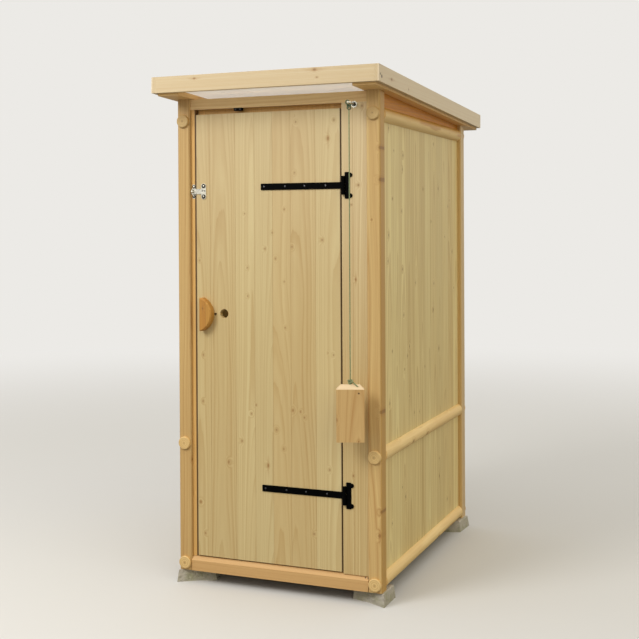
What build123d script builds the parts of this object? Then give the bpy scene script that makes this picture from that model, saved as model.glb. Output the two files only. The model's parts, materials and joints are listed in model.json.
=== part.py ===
"""A wooden outhouse cabin with one door, a lean-to roof and a counterweight that shuts the door.

Round rails run from front to back. Their turned ends pass through bored corner posts and show as
discs on the outside. Glued board panels stand in grooves between posts and rails.
The front faces -Y, +Z is up, and the origin is under the middle of the roof, on the ground.
All sizes are in millimetres.
"""

from build123d import *
from math import cos, hypot, radians, sin, tan
import os

os.makedirs("parts", exist_ok=True)

# Foot stones: each outline point is (outwards, inwards) from the outer corner of its post
foot_height = 52.0
foot_outline = [(-12, -9), (-13, 129), (60, 156), (134, 124), (142, 52), (68, 33)]
foot_middle = 62.0
foot_taper = 6.0
foot_edge = 3.0
foot_turns = {"front_right": 0.0, "front_left": 6.0, "rear_right": -4.0, "rear_left": 3.0}

# Cabin frame
cabin_width = 905.0
cabin_depth = 1290.0
post_width = 58.0
post_depth = 62.0
post_round = 8.0
rail_diameter = 61.0
tenon_diameter = 54.0
tenon_clearance = 0.15
tenon_proud = 10.0
tenon_chamfer = 3.0
shoulder_chamfer = 5.0
rail_from_side = 28.0
bottom_rail_height = 32.0
middle_rail_height = 537.0
top_rail_below_head = 47.0

# Boards that stand in grooves
panel_thickness = 19.0
panel_recess = 20.0
groove_depth = 9.0
post_groove_depth = 8.0
groove_play = 0.2

# Front
front_recess = 8.0
board_thickness = 24.0
sill_height = 60.0
sill_depth = 50.0
sill_bevel = 16.0
head_height = 43.0
head_depth = 50.0
side_board_width = 107.0
stop_width = 20.0
stop_set_back = 6.0
stop_lap = 12.0
stop_depth = 21.0
door_height = 1855.0
door_gap = 5.0
door_gap_bottom = 6.0
door_gap_top = 22.0

# Door furniture
peephole_diameter = 38.0
peephole_from_edge = 130.0
peephole_height = 1088.0
peg_hole_diameter = 12.0
peg_hole_depth = 8.0
peg_hole_from_edge = 90.0
ledge_height = 90.0
ledge_thickness = 22.0
ledge_inset = 45.0
pull_height = 138.0
pull_width = 56.0
pull_thickness = 32.0
pull_shoulder = 12.0
pull_from_edge = 27.0
pull_middle = 1084.0
pull_bevel = 5.0

# Strap hinges
hinge_heights = {"upper": 1613.0, "lower": 374.0}
hinge_beside_gap = 8.0
strap_length = 363.0
strap_height = 27.0
strap_thickness = 3.0
strap_tip_round = 3.0
strap_root_clear = 0.3
hinge_plate_height = 106.0
hinge_plate_width = 21.0
hinge_plate_from_pin = 6.0
hinge_plate_round = 3.0
hinge_ear_radius = 9.0
hinge_ear_from_end = 12.0
hinge_ear_reach = 11.0
knuckle_diameter = 14.0
knuckle_length = 75.0
strap_knuckle_length = 30.0
knuckle_end_gap = 0.5
pin_diameter = 7.0
pin_clearance = 0.08
hinge_axis_ahead = 8.0

# Hasp and catch
hasp_height = 1599.0
hasp_plate_height = 66.0
hasp_plate_width = 22.0
hasp_plate_thickness = 2.5
hasp_from_edge = 26.0
hasp_arm_height = 22.0
hasp_arm_web = 3.0
hasp_slot_height = 15.0
hasp_slot_width = 8.0
staple_from_post = 12.0
staple_plate_height = 60.0
staple_plate_width = 15.0
staple_plate_thickness = 1.0
staple_wire = 3.5
staple_reach = 20.0
staple_span = 7.5
catch_from_edge = 197.0
catch_length = 38.0
catch_height = 12.0
catch_depth = 14.0
catch_set_back = 2.0
catch_chamfer = 2.0

# Counterweight
weight_width = 110.0
weight_depth = 40.0
weight_height = 224.0
weight_bevel = 18.0
weight_bottom = 608.0
weight_turn = 20.0
cord_from_side = 101.5
cord_ahead = 82.0
cord_diameter = 5.0
knot_diameter = 22.0
knot_height = 26.0
knot_bevel = 4.0
knot_sides = 8
guide_above_door = 13.0
guide_from_side = 110.0
guide_flange_diameter = 26.0
guide_flange_thickness = 3.0
guide_arm_diameter = 6.0
guide_ring_diameter = 20.0
guide_ring_wire = 6.0

# Roof
roof_slope = 2.0
roof_overhang_side = 44.0
roof_overhang_front = 136.0
roof_overhang_rear = 161.0
fascia_height = 66.0
fascia_thickness = 20.0
rafter_width = 95.0
rafter_drop = 10.0
sheet_thickness = 10.0
sheet_below_edge = 46.0

# Floor
floor_thickness = 20.0
joist_width = 40.0
floor_play = 1.0

# Places worked out from the sizes above
slope = radians(roof_slope)
half_width = cabin_width / 2
base = foot_height
roof_length = (cabin_depth + roof_overhang_front + roof_overhang_rear) / cos(slope)
roof_y = -(roof_length * cos(slope) - fascia_height * sin(slope)) / 2
front = roof_y + roof_overhang_front
rear = front + cabin_depth
post_x = half_width - post_width / 2
post_inner = half_width - post_width
rail_radius = rail_diameter / 2
rail_x = half_width - rail_from_side
rear_rail_y = rear - rail_from_side
panel_x = half_width - panel_recess - panel_thickness / 2
rear_panel_y = rear - panel_recess - panel_thickness / 2
door_bottom = base + sill_height + door_gap_bottom
door_top = door_bottom + door_height
head_bottom_z = door_top + door_gap_top
head_top_z = head_bottom_z + head_height
rail_heights = [
    base + bottom_rail_height,
    base + middle_rail_height,
    head_bottom_z - top_rail_below_head,
]
groove_floor = rail_radius - groove_depth
groove_width = panel_thickness + 2 * groove_play
face_y = front + front_recess
back_y = face_y + board_thickness
side_board_left = post_inner - side_board_width
door_right = side_board_left - door_gap
hinge_x = side_board_left + hinge_beside_gap
hinge_y = face_y - hinge_axis_ahead
door_left = -half_width + post_width + stop_width + door_gap
door_width = door_right - door_left
weight_top = base + weight_bottom + weight_height
cord_x = half_width - cord_from_side
cord_y = face_y - cord_ahead
rafter_height = fascia_height + rafter_drop - sheet_below_edge - sheet_thickness

# The rafters lie on the head beam and on the tops of the posts behind it.
rafter_seat_run = roof_overhang_front + post_depth
roof_top_z = head_top_z + (fascia_height + rafter_drop) / cos(slope) + rafter_seat_run * tan(slope)

# The roof lies on this plane: its X runs to the right, its Y down the slope to the rear.
roof_plane = Plane(
    origin=(0, roof_y, roof_top_z),
    x_dir=(1, 0, 0),
    z_dir=(0, sin(slope), cos(slope)),
)
rafter_underside = roof_plane.offset(-(fascia_height + rafter_drop))


def save(piece, name):
    """Label a finished piece and write it under its own name."""
    piece.part.label = name
    export_step(piece.part, f"parts/{name}.step")


# Foot stones: low, uneven blocks, each turned its own way
corners = {
    "front_right": (1, 1, front),
    "front_left": (-1, 1, front),
    "rear_right": (1, -1, rear),
    "rear_left": (-1, -1, rear),
}
with BuildPart() as feet:
    for corner, (side, inward, y_edge) in corners.items():
        turn = radians(foot_turns[corner])
        outline = []
        for across, along in foot_outline:
            du = across - foot_middle
            dv = along - foot_middle
            u = foot_middle + du * cos(turn) - dv * sin(turn)
            v = foot_middle + du * sin(turn) + dv * cos(turn)
            outline.append((side * (half_width - u), y_edge + inward * v))
        if side * inward < 0:
            outline.reverse()
        with BuildSketch(Plane.XY):
            with BuildLine():
                Polyline(*outline, close=True)
            make_face()
        extrude(amount=foot_height, taper=foot_taper)
    chamfer(feet.faces().filter_by(Axis.Z).group_by(Axis.Z)[-1].edges(), foot_edge)
save(feet, "foot_stones")

# Corner posts: rounded squares, bored right through where the rails' turned ends pass,
# grooved for the panels and cut to the slope of the roof.
for corner, (side, inward, y_edge) in corners.items():
    post_y = y_edge + inward * post_depth / 2
    with BuildPart() as post:
        with BuildSketch(Plane.XY.offset(base)):
            with Locations((side * post_x, post_y)):
                RectangleRounded(post_width, post_depth, post_round)
        extrude(amount=roof_top_z)
        split(bisect_by=rafter_underside, keep=Keep.BOTTOM)
        # Bores for the turned ends of the side rails
        for height in rail_heights:
            with Locations(Plane(origin=(side * rail_x, post_y, height), z_dir=(0, -1, 0))):
                Hole(tenon_diameter / 2 + tenon_clearance)
        # Groove for the side panels, in the face that looks along the side wall
        with Locations((side * panel_x, y_edge + inward * post_depth, rail_heights[0])):
            Box(
                groove_width,
                2 * post_groove_depth,
                roof_top_z,
                align=(Align.CENTER, Align.CENTER, Align.MIN),
                mode=Mode.SUBTRACT,
            )
        # Groove for the rear panels, in the inner face of the rear posts
        if inward < 0:
            with Locations((side * post_inner, rear_panel_y, rail_heights[0])):
                Box(
                    2 * post_groove_depth,
                    groove_width,
                    roof_top_z,
                    align=(Align.CENTER, Align.CENTER, Align.MIN),
                    mode=Mode.SUBTRACT,
                )
    save(post, f"post_{corner}")

# Side rails: round poles with a shoulder at each post and a turned end that passes through it.
shoulder_front = front + post_depth
shoulder_rear = rear - post_depth
rail_names = ["bottom", "middle", "top"]
groove_sides = {"bottom": [1], "middle": [1, -1], "top": [1, -1]}
tenon_end_front = front - tenon_proud
tenon_end_rear = rear + tenon_proud
groove_length = shoulder_rear - shoulder_front + 2 * post_groove_depth
for side, side_name in ((1, "right"), (-1, "left")):
    for level, height in zip(rail_names, rail_heights):
        profile_plane = Plane(origin=(side * rail_x, 0, height), x_dir=(0, 1, 0), z_dir=(1, 0, 0))
        with BuildPart() as side_rail:
            with BuildSketch(profile_plane):
                with BuildLine():
                    Polyline(
                        (tenon_end_front, 0),
                        (tenon_end_front, tenon_diameter / 2 - tenon_chamfer),
                        (tenon_end_front + tenon_chamfer, tenon_diameter / 2),
                        (shoulder_front, tenon_diameter / 2),
                        (shoulder_front + shoulder_chamfer, rail_radius),
                        (shoulder_rear - shoulder_chamfer, rail_radius),
                        (shoulder_rear, tenon_diameter / 2),
                        (tenon_end_rear - tenon_chamfer, tenon_diameter / 2),
                        (tenon_end_rear, tenon_diameter / 2 - tenon_chamfer),
                        (tenon_end_rear, 0),
                        close=True,
                    )
                make_face()
            revolve(axis=Axis((side * rail_x, 0, height), (0, 1, 0)))
            # Grooves for the panels above and below
            for sign in groove_sides[level]:
                with Locations((side * panel_x, (front + rear) / 2, height + sign * rail_radius)):
                    Box(groove_width, groove_length, 2 * groove_depth, mode=Mode.SUBTRACT)
        save(side_rail, f"rail_{level}_{side_name}")

# Rear rails: the same poles, cut square between the rear posts.
with BuildPart() as rear_rails:
    for level, height in zip(rail_names, rail_heights):
        with BuildSketch(Plane(origin=(-post_inner, rear_rail_y, height), z_dir=(1, 0, 0))):
            Circle(rail_radius)
        extrude(amount=2 * post_inner)
        for sign in groove_sides[level]:
            with Locations((0, rear_panel_y, height + sign * rail_radius)):
                Box(2 * post_inner, groove_width, 2 * groove_depth, mode=Mode.SUBTRACT)
save(rear_rails, "rails_rear")

# Sill: the front bottom rail, with a bevel that sheds water.
sill_y = front + sill_depth / 2
with BuildPart() as sill:
    with Locations((0, sill_y, base + sill_height / 2)):
        Box(2 * post_inner, sill_depth, sill_height)
    chamfer(sill.edges().filter_by(Axis.X).group_by(Axis.Z)[-1].sort_by(Axis.Y)[0], sill_bevel)
save(sill, "sill")

# Head beam over the door and the fixed board beside it
with BuildPart() as head_beam:
    with Locations((0, face_y + head_depth / 2, head_bottom_z + head_height / 2)):
        Box(2 * post_inner, head_depth, head_height)
save(head_beam, "head_beam")

side_board_bottom = base + sill_height
with BuildPart() as side_board:
    with Locations(((side_board_left + post_inner) / 2, face_y + board_thickness / 2, side_board_bottom)):
        Box(
            side_board_width,
            board_thickness,
            head_bottom_z - side_board_bottom,
            align=(Align.CENTER, Align.CENTER, Align.MIN),
        )
save(side_board, "front_side_board")

# Door stops in one frame: a rebated strip on the lock side and a batten under the head beam.
stop_left = -half_width + post_width
lip_y = back_y + door_gap
lip_right = stop_left + stop_width + door_gap + stop_lap
with BuildPart() as stops:
    with BuildSketch(Plane.XY.offset(base + sill_height)):
        with BuildLine():
            Polyline(
                (stop_left, face_y + stop_set_back),
                (stop_left + stop_width, face_y + stop_set_back),
                (stop_left + stop_width, lip_y),
                (lip_right, lip_y),
                (lip_right, lip_y + stop_depth),
                (stop_left, lip_y + stop_depth),
                close=True,
            )
        make_face()
    extrude(amount=head_bottom_z - base - sill_height)
    with Locations(((lip_right + side_board_left) / 2, lip_y + stop_depth / 2, head_bottom_z)):
        Box(
            side_board_left - lip_right,
            stop_depth,
            door_gap_top + stop_lap,
            align=(Align.CENTER, Align.CENTER, Align.MAX),
        )
save(stops, "door_stops")

# Wall panels: glued boards, seated in the groove of the rail below.
panel_length = shoulder_rear - shoulder_front + 2 * (post_groove_depth - groove_play)
rear_panel_width = 2 * post_inner + 2 * (post_groove_depth - groove_play)
panel_levels = {
    "lower": (rail_heights[0] + groove_floor, rail_heights[1] - groove_floor - groove_play),
    "upper": (rail_heights[1] + groove_floor, rail_heights[2] - groove_floor - groove_play),
}
for level, (bottom, top) in panel_levels.items():
    for side, side_name in ((1, "right"), (-1, "left")):
        with BuildPart() as panel:
            with Locations((side * panel_x, (front + rear) / 2, (bottom + top) / 2)):
                Box(panel_thickness, panel_length, top - bottom)
        save(panel, f"panel_{side_name}_{level}")
    with BuildPart() as rear_panel:
        with Locations((0, rear_panel_y, (bottom + top) / 2)):
            Box(rear_panel_width, panel_thickness, top - bottom)
    save(rear_panel, f"panel_rear_{level}")

# Gable boards: wedges that close the sides under the sloping roof
gable_bottom = rail_heights[2] + groove_floor
for side, side_name in ((1, "right"), (-1, "left")):
    with BuildPart() as gable:
        with Locations((side * panel_x, (front + rear) / 2, gable_bottom)):
            Box(
                panel_thickness,
                panel_length,
                roof_top_z - gable_bottom,
                align=(Align.CENTER, Align.CENTER, Align.MIN),
            )
        split(bisect_by=rafter_underside, keep=Keep.BOTTOM)
    save(gable, f"gable_{side_name}")

with BuildPart() as rear_gable:
    with Locations((0, rear_panel_y, gable_bottom)):
        Box(
            rear_panel_width,
            panel_thickness,
            roof_top_z - gable_bottom,
            align=(Align.CENTER, Align.CENTER, Align.MIN),
        )
    split(bisect_by=rafter_underside, keep=Keep.BOTTOM)
save(rear_gable, "gable_rear")

# Floor on three joists between the sill and the rear bottom rail
floor_front = front + sill_depth
floor_rear = rear_rail_y - rail_radius
floor_top = base + sill_height
joist_height = sill_height - floor_thickness
joist_spread = post_inner - joist_width
with BuildPart() as joists:
    with Locations((0, (floor_front + floor_rear) / 2, base)):
        with GridLocations(joist_spread, 1, 3, 1):
            Box(
                joist_width,
                floor_rear - floor_front,
                joist_height,
                align=(Align.CENTER, Align.CENTER, Align.MIN),
            )
save(joists, "floor_joists")

floor_half = rail_x - rail_radius - floor_play
with BuildPart() as floor:
    with Locations((0, (lip_y + stop_depth + floor_rear) / 2, floor_top - floor_thickness)):
        Box(
            2 * floor_half,
            floor_rear - lip_y - stop_depth,
            floor_thickness,
            align=(Align.CENTER, Align.CENTER, Align.MIN),
        )
save(floor, "floor")

# Roof: two rafters, four edge boards and one sheet, all in the sloping plane.
rafter_x = half_width + roof_overhang_side - fascia_thickness - rafter_width / 2
inner_half = half_width + roof_overhang_side - fascia_thickness
rafter_length = roof_length - 2 * fascia_thickness
for side, side_name in ((1, "right"), (-1, "left")):
    with BuildPart() as rafter:
        with BuildSketch(rafter_underside):
            with Locations((side * rafter_x, roof_length / 2)):
                Rectangle(rafter_width, rafter_length)
        extrude(amount=rafter_height)
    save(rafter, f"rafter_{side_name}")

    with BuildPart() as side_fascia:
        with BuildSketch(roof_plane):
            with Locations((side * (inner_half + fascia_thickness / 2), roof_length / 2)):
                Rectangle(fascia_thickness, roof_length)
        extrude(amount=-fascia_height)
    save(side_fascia, f"fascia_{side_name}")

with BuildPart() as front_fascia:
    with BuildSketch(roof_plane):
        with Locations((0, fascia_thickness / 2)):
            Rectangle(2 * inner_half, fascia_thickness)
    extrude(amount=-fascia_height)
save(front_fascia, "fascia_front")

with BuildPart() as rear_fascia:
    with BuildSketch(rafter_underside):
        with Locations((0, roof_length - fascia_thickness / 2)):
            Rectangle(2 * inner_half, fascia_thickness)
    extrude(amount=rafter_height)
save(rear_fascia, "fascia_rear")

with BuildPart() as roof_sheet:
    with BuildSketch(roof_plane.offset(-sheet_below_edge)):
        with Locations((0, (fascia_thickness + roof_length) / 2)):
            Rectangle(2 * inner_half, roof_length - fascia_thickness)
    extrude(amount=-sheet_thickness)
save(roof_sheet, "roof_sheet")

# Door leaf with its round through hole
door_plane = Plane(origin=(door_left, face_y, base), x_dir=(1, 0, 0), z_dir=(0, -1, 0))
with BuildPart() as leaf:
    with BuildSketch(door_plane):
        with Locations((door_width / 2, (door_bottom + door_top) / 2 - base)):
            Rectangle(door_width, door_height)
    extrude(amount=-board_thickness)
    with Locations(door_plane):
        with Locations((peephole_from_edge, peephole_height)):
            Hole(peephole_diameter / 2)
        with Locations((peg_hole_from_edge, pull_middle)):
            Hole(peg_hole_diameter / 2, depth=peg_hole_depth)
save(leaf, "door_leaf")

# Ledges across the back of the door, behind the straps
with BuildPart() as ledges:
    for height in hinge_heights.values():
        with Locations(((door_left + door_right) / 2, back_y + ledge_thickness / 2, base + height)):
            Box(door_width - 2 * ledge_inset, ledge_thickness, ledge_height)
save(ledges, "door_ledges")

# Wooden pull: a flat back towards the door's edge and a bow towards its middle
with BuildPart() as pull:
    with BuildSketch(door_plane):
        with BuildLine():
            flat_bottom = (pull_from_edge, pull_middle - pull_height / 2)
            flat_top = (pull_from_edge, pull_middle + pull_height / 2)
            shoulder_bottom = (pull_from_edge + pull_shoulder, pull_middle - pull_height / 2)
            shoulder_top = (pull_from_edge + pull_shoulder, pull_middle + pull_height / 2)
            bow_middle = (pull_from_edge + pull_width, pull_middle)
            Line(flat_top, flat_bottom)
            Line(flat_bottom, shoulder_bottom)
            ThreePointArc(shoulder_bottom, bow_middle, shoulder_top)
            Line(shoulder_top, flat_top)
        make_face()
    extrude(amount=pull_thickness)
    chamfer(pull.faces().sort_by(Axis.Y)[0].edges(), pull_bevel)
save(pull, "door_pull")

# Strap hinges. The strap turns with the door, the plate and its pin stay on the fixed board.
knuckle_radius = knuckle_diameter / 2
plate_knuckle_length = (knuckle_length - strap_knuckle_length) / 2 - knuckle_end_gap
ear_x = hinge_plate_width + hinge_ear_reach - hinge_ear_radius
for hinge_name, height in hinge_heights.items():
    hinge_z = base + height
    with BuildPart() as strap:
        with BuildSketch(Plane(origin=(hinge_x, face_y, hinge_z), x_dir=(1, 0, 0), z_dir=(0, -1, 0))):
            with Locations((-strap_length / 2, 0)):
                RectangleRounded(strap_length, strap_height, strap_tip_round)
        extrude(amount=strap_thickness)
        with Locations(((door_right + hinge_x) / 2, face_y, hinge_z)):
            Box(hinge_x - door_right, 2 * strap_root_clear, strap_height, mode=Mode.SUBTRACT)
        with Locations((hinge_x, hinge_y, hinge_z)):
            Cylinder(knuckle_radius, strap_knuckle_length)
            Cylinder(
                pin_diameter / 2 + pin_clearance,
                strap_knuckle_length,
                mode=Mode.SUBTRACT,
            )
    save(strap, f"hinge_strap_{hinge_name}")

    with BuildPart() as plate:
        plate_left = hinge_x + hinge_plate_from_pin
        with BuildSketch(Plane(origin=(plate_left, face_y, hinge_z), x_dir=(1, 0, 0), z_dir=(0, -1, 0))):
            with Locations((hinge_plate_width / 2, 0)):
                RectangleRounded(hinge_plate_width, hinge_plate_height, hinge_plate_round)
            with Locations(
                (ear_x, hinge_plate_height / 2 - hinge_ear_from_end),
                (ear_x, hinge_ear_from_end - hinge_plate_height / 2),
            ):
                Circle(hinge_ear_radius)
        extrude(amount=strap_thickness)
        for sign in (1, -1):
            knuckle_z = hinge_z + sign * (knuckle_length - plate_knuckle_length) / 2
            with Locations((hinge_x, hinge_y, knuckle_z)):
                Cylinder(knuckle_radius, plate_knuckle_length)
            with Locations(((hinge_x + plate_left) / 2, face_y, knuckle_z)):
                Box(
                    plate_left - hinge_x,
                    strap_thickness,
                    plate_knuckle_length,
                    align=(Align.CENTER, Align.MAX, Align.CENTER),
                )
        with Locations((hinge_x, hinge_y, hinge_z)):
            Cylinder(pin_diameter / 2, knuckle_length)
    save(plate, f"hinge_plate_{hinge_name}")

# Hasp: a rounded plate on the door with a slotted arm that reaches over the staple
hasp_z = base + hasp_height
stop_face = face_y + stop_set_back
staple_x = stop_left + staple_from_post
hasp_plate_x = door_left + hasp_from_edge + hasp_plate_width / 2
arm_left = staple_x - hasp_slot_width / 2 - hasp_arm_web
hasp_plane = Plane(origin=(0, face_y, hasp_z), x_dir=(1, 0, 0), z_dir=(0, -1, 0))
with BuildPart() as hasp:
    with BuildSketch(hasp_plane):
        with Locations((hasp_plate_x, 0)):
            SlotOverall(hasp_plate_height, hasp_plate_width, rotation=90)
        with Locations(((arm_left + hasp_plate_x) / 2, 0)):
            RectangleRounded(hasp_plate_x - arm_left, hasp_arm_height, hasp_arm_web)
        with Locations((staple_x, 0)):
            Rectangle(hasp_slot_width, hasp_slot_height, mode=Mode.SUBTRACT)
    extrude(amount=hasp_plate_thickness)
save(hasp, "hasp_arm")

# Staple: a bent loop that takes the lock, on a plate on the stop
loop_radius = staple_span / 2
loop_leg = staple_reach - staple_wire / 2 - loop_radius
loop_plane = Plane(origin=(staple_x, stop_face, hasp_z), x_dir=(0, 0, 1), z_dir=(1, 0, 0))
with BuildPart() as staple:
    with BuildSketch(loop_plane.offset(-staple_wire / 2)):
        with Locations((0, loop_leg / 2)):
            Rectangle(staple_span + staple_wire, loop_leg)
        with Locations((0, loop_leg)):
            Circle(loop_radius + staple_wire / 2)
        with Locations((0, loop_leg / 2)):
            Rectangle(staple_span - staple_wire, loop_leg, mode=Mode.SUBTRACT)
        with Locations((0, loop_leg)):
            Circle(loop_radius - staple_wire / 2, mode=Mode.SUBTRACT)
    extrude(amount=staple_wire)
    with BuildSketch(Plane(origin=(staple_x, stop_face, hasp_z), x_dir=(1, 0, 0), z_dir=(0, -1, 0))):
        SlotOverall(staple_plate_height, staple_plate_width, rotation=90)
    extrude(amount=staple_plate_thickness)
save(staple, "hasp_staple")

# Catch under the head beam, in the gap over the door
with BuildPart() as catch:
    with Locations((door_left + catch_from_edge, face_y + catch_set_back, head_bottom_z)):
        Box(
            catch_length,
            catch_depth,
            catch_height,
            align=(Align.CENTER, Align.MIN, Align.MAX),
        )
    chamfer(catch.edges().filter_by(Axis.Y).group_by(Axis.Z)[0], catch_chamfer)
save(catch, "door_catch")

# Counterweight block with a hipped top. It hangs by its middle and is turned about the cord.
with BuildPart() as weight:
    with Locations(Location((cord_x, cord_y, base + weight_bottom), (0, 0, weight_turn))):
        Box(
            weight_width,
            weight_depth,
            weight_height,
            align=(Align.CENTER, Align.CENTER, Align.MIN),
        )
    chamfer(weight.faces().sort_by(Axis.Z)[-1].edges(), weight_bevel)
save(weight, "weight_block")

# Guide: a flange on the front and an arm that stands out to a ring over the block
guide_z = door_top + guide_above_door
guide_x = half_width - guide_from_side
arm_root_y = face_y - guide_flange_thickness / 2
ring_radius = (guide_ring_diameter - guide_ring_wire) / 2
arm_length = hypot(cord_x - guide_x, cord_y - arm_root_y) - ring_radius
with BuildPart() as guide:
    with BuildSketch(Plane(origin=(guide_x, face_y, guide_z), z_dir=(0, -1, 0))):
        Circle(guide_flange_diameter / 2)
    extrude(amount=guide_flange_thickness)
    arm_direction = (cord_x - guide_x, cord_y - arm_root_y, 0)
    with BuildSketch(Plane(origin=(guide_x, arm_root_y, guide_z), z_dir=arm_direction)):
        Circle(guide_arm_diameter / 2)
    extrude(amount=arm_length)
    with Locations((cord_x, cord_y, guide_z)):
        Cylinder(guide_ring_diameter / 2, guide_ring_wire)
        Cylinder(guide_ring_diameter / 2 - guide_ring_wire, guide_ring_wire, mode=Mode.SUBTRACT)
save(guide, "cord_guide")

# Knot under the ring, and the cord from the knot down to the block
knot_bottom = guide_z - guide_ring_wire / 2 - knot_height
with BuildPart() as knot:
    with BuildSketch(Plane.XY.offset(knot_bottom)):
        with Locations((cord_x, cord_y)):
            RegularPolygon(knot_diameter / 2, knot_sides)
    extrude(amount=knot_height)
    chamfer(knot.faces().filter_by(Axis.Z).edges(), knot_bevel)
save(knot, "cord_knot")

with BuildPart() as cord:
    with Locations((cord_x, cord_y, weight_top)):
        Cylinder(
            cord_diameter / 2,
            knot_bottom - weight_top,
            align=(Align.CENTER, Align.CENTER, Align.MIN),
        )
save(cord, "weight_cord")
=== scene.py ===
"""Wooden outhouse: materials, small fittings and the cord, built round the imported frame."""
import json
import math

import bmesh
import bpy
import numpy as np
from mathutils import Matrix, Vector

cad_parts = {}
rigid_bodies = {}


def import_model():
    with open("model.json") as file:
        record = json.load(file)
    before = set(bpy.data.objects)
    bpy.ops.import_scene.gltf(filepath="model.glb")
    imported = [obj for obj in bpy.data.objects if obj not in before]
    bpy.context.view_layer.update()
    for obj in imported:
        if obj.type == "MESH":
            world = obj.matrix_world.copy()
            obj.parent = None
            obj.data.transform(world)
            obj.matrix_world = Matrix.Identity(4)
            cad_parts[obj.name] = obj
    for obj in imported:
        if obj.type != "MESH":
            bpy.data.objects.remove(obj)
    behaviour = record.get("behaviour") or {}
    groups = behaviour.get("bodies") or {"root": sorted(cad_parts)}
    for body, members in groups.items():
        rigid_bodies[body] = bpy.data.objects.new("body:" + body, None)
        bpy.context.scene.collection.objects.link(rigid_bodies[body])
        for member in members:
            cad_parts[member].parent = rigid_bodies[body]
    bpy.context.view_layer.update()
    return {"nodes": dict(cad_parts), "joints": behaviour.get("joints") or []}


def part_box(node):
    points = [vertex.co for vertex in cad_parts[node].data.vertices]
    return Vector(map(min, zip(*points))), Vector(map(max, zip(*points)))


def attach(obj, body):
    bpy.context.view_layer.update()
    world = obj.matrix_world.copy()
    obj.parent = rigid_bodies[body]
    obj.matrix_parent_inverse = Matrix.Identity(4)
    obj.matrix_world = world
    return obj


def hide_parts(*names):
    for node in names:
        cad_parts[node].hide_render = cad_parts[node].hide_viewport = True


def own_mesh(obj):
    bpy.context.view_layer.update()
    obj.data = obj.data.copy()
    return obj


for leftover in list(bpy.data.objects):
    bpy.data.objects.remove(leftover)
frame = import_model()

bl_info = {
    "name": "Wooden outhouse",
    "version": (1, 0, 0),
    "blender": (4, 5, 0),
    "location": "View3D > Sidebar > Outhouse",
    "description": "Dresses a wooden outhouse: boards, poles, ironwork, roof sheet, cord and stage",
    "category": "Object",
}

NODES = frame["nodes"]


# Colours

def linear(red, green, blue):
    """Display colour from 0 to 255 as the linear numbers that a shader takes."""
    share = np.array([red, green, blue], float) / 255
    bright = ((share + 0.055) / 1.055) ** 2.4
    return tuple(np.where(share <= 0.04045, share / 12.92, bright).tolist())


def colour(name, description, *display):
    """A colour setting whose default is given as it looks on a display."""
    return bpy.props.FloatVectorProperty(name=name, description=description, subtype="COLOR", min=0, max=1,
                                         default=linear(*display))


def length(name, description, metres):
    """A length setting in metres."""
    return bpy.props.FloatProperty(name=name, description=description, unit="LENGTH", min=0, precision=4,
                                   default=metres)


def power(name, description, amount):
    """A strength setting of a lamp or of the sky."""
    return bpy.props.FloatProperty(name=name, description=description, min=0, default=amount)


# What each timber is used for, and its pale early wood and dark late wood as they look on a display
TIMBERS = {
    "panel": ("glued wall boards", (241, 222, 160), (190, 152, 84)),
    "door": ("door's glued boards", (214, 194, 142), (176, 138, 80)),
    "post": ("posts", (220, 190, 128), (176, 128, 70)),
    "rail": ("round rails", (250, 220, 154), (206, 157, 88)),
    "sill": ("sill", (217, 178, 120), (185, 134, 76)),
    "stop": ("door stops", (230, 186, 112), (192, 142, 74)),
    "front": ("head beam", (236, 204, 148), (202, 154, 94)),
    "gable": ("gable boards", (216, 148, 14), (172, 98, 6)),
    "floor": ("floor boards", (205, 180, 132), (160, 122, 76)),
    "roof": ("fascias", (218, 201, 165), (190, 156, 104)),
    "pull": ("door pull", (198, 148, 70), (156, 94, 34)),
    "weight": ("counterweight", (214, 180, 122), (180, 132, 74)),
    "rafter": ("rafters", (250, 212, 144), (228, 176, 102)),
}


class OuthouseColours(bpy.types.PropertyGroup):
    """Colours of every finish, with each timber's two tones added below."""

    knot: colour("Knot", "Heart of a knot", 118, 74, 30)
    knot_rim: colour("Knot rim", "Wood round a knot", 166, 118, 60)
    # Painted shade: a deeper tone on the front posts' outer sides and on the top rails' upper part
    painted_side_shade: colour("Tanned side", "Deeper tone of the posts' outer sides and the top rails", 184, 130, 26)
    tenon: colour("Tenon end", "End grain of the rails where they come through the posts", 186, 158, 106)
    # Painted light: a paler tone laid on the upper door and side board, the side fascias' outer faces, the
    # rear posts' outer sides and the block's bevel
    painted_light: colour("Planed end", "Paler tone of planed ends and of bleached boards", 244, 226, 196)
    # Also the colour of the painted shade in holes and along the door's gaps
    crack_and_painted_shade: colour("Drying crack", "Inside of a drying crack", 70, 42, 22)
    iron: colour("Black iron", "Paint of the hinges and the catch", 2, 2, 2)
    zinc: colour("Zinc", "Bright plating of the hasp", 222, 218, 202)
    sheet: colour("Roof sheet", "Milky twin-wall sheet", 242, 238, 230)
    cord: colour("Cord", "Pale green of the cord", 88, 108, 62)
    cord_light: colour("Cord fleck", "Pale fleck in the cord", 178, 186, 138)
    # Painted shade: the deep green laid on the cord from the knot under the guide upwards
    cord_painted_shade: colour("Cord, deep", "Deep green of the knot under the guide", 36, 72, 38)
    stone: colour("Stone", "Grey of the foot stones", 188, 180, 164)
    moss: colour("Moss", "Green film on the stones", 138, 136, 98)
    ground: colour("Floor of the stage", "Pale floor and backdrop", 236, 234, 230)


for timber, (use, pale, dark) in TIMBERS.items():
    OuthouseColours.__annotations__.update({
        timber + "_pale": colour(use.capitalize() + ", pale", "Early wood of the " + use, *pale),
        timber + "_dark": colour(use.capitalize() + ", dark", "Late wood of the " + use, *dark)})


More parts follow.
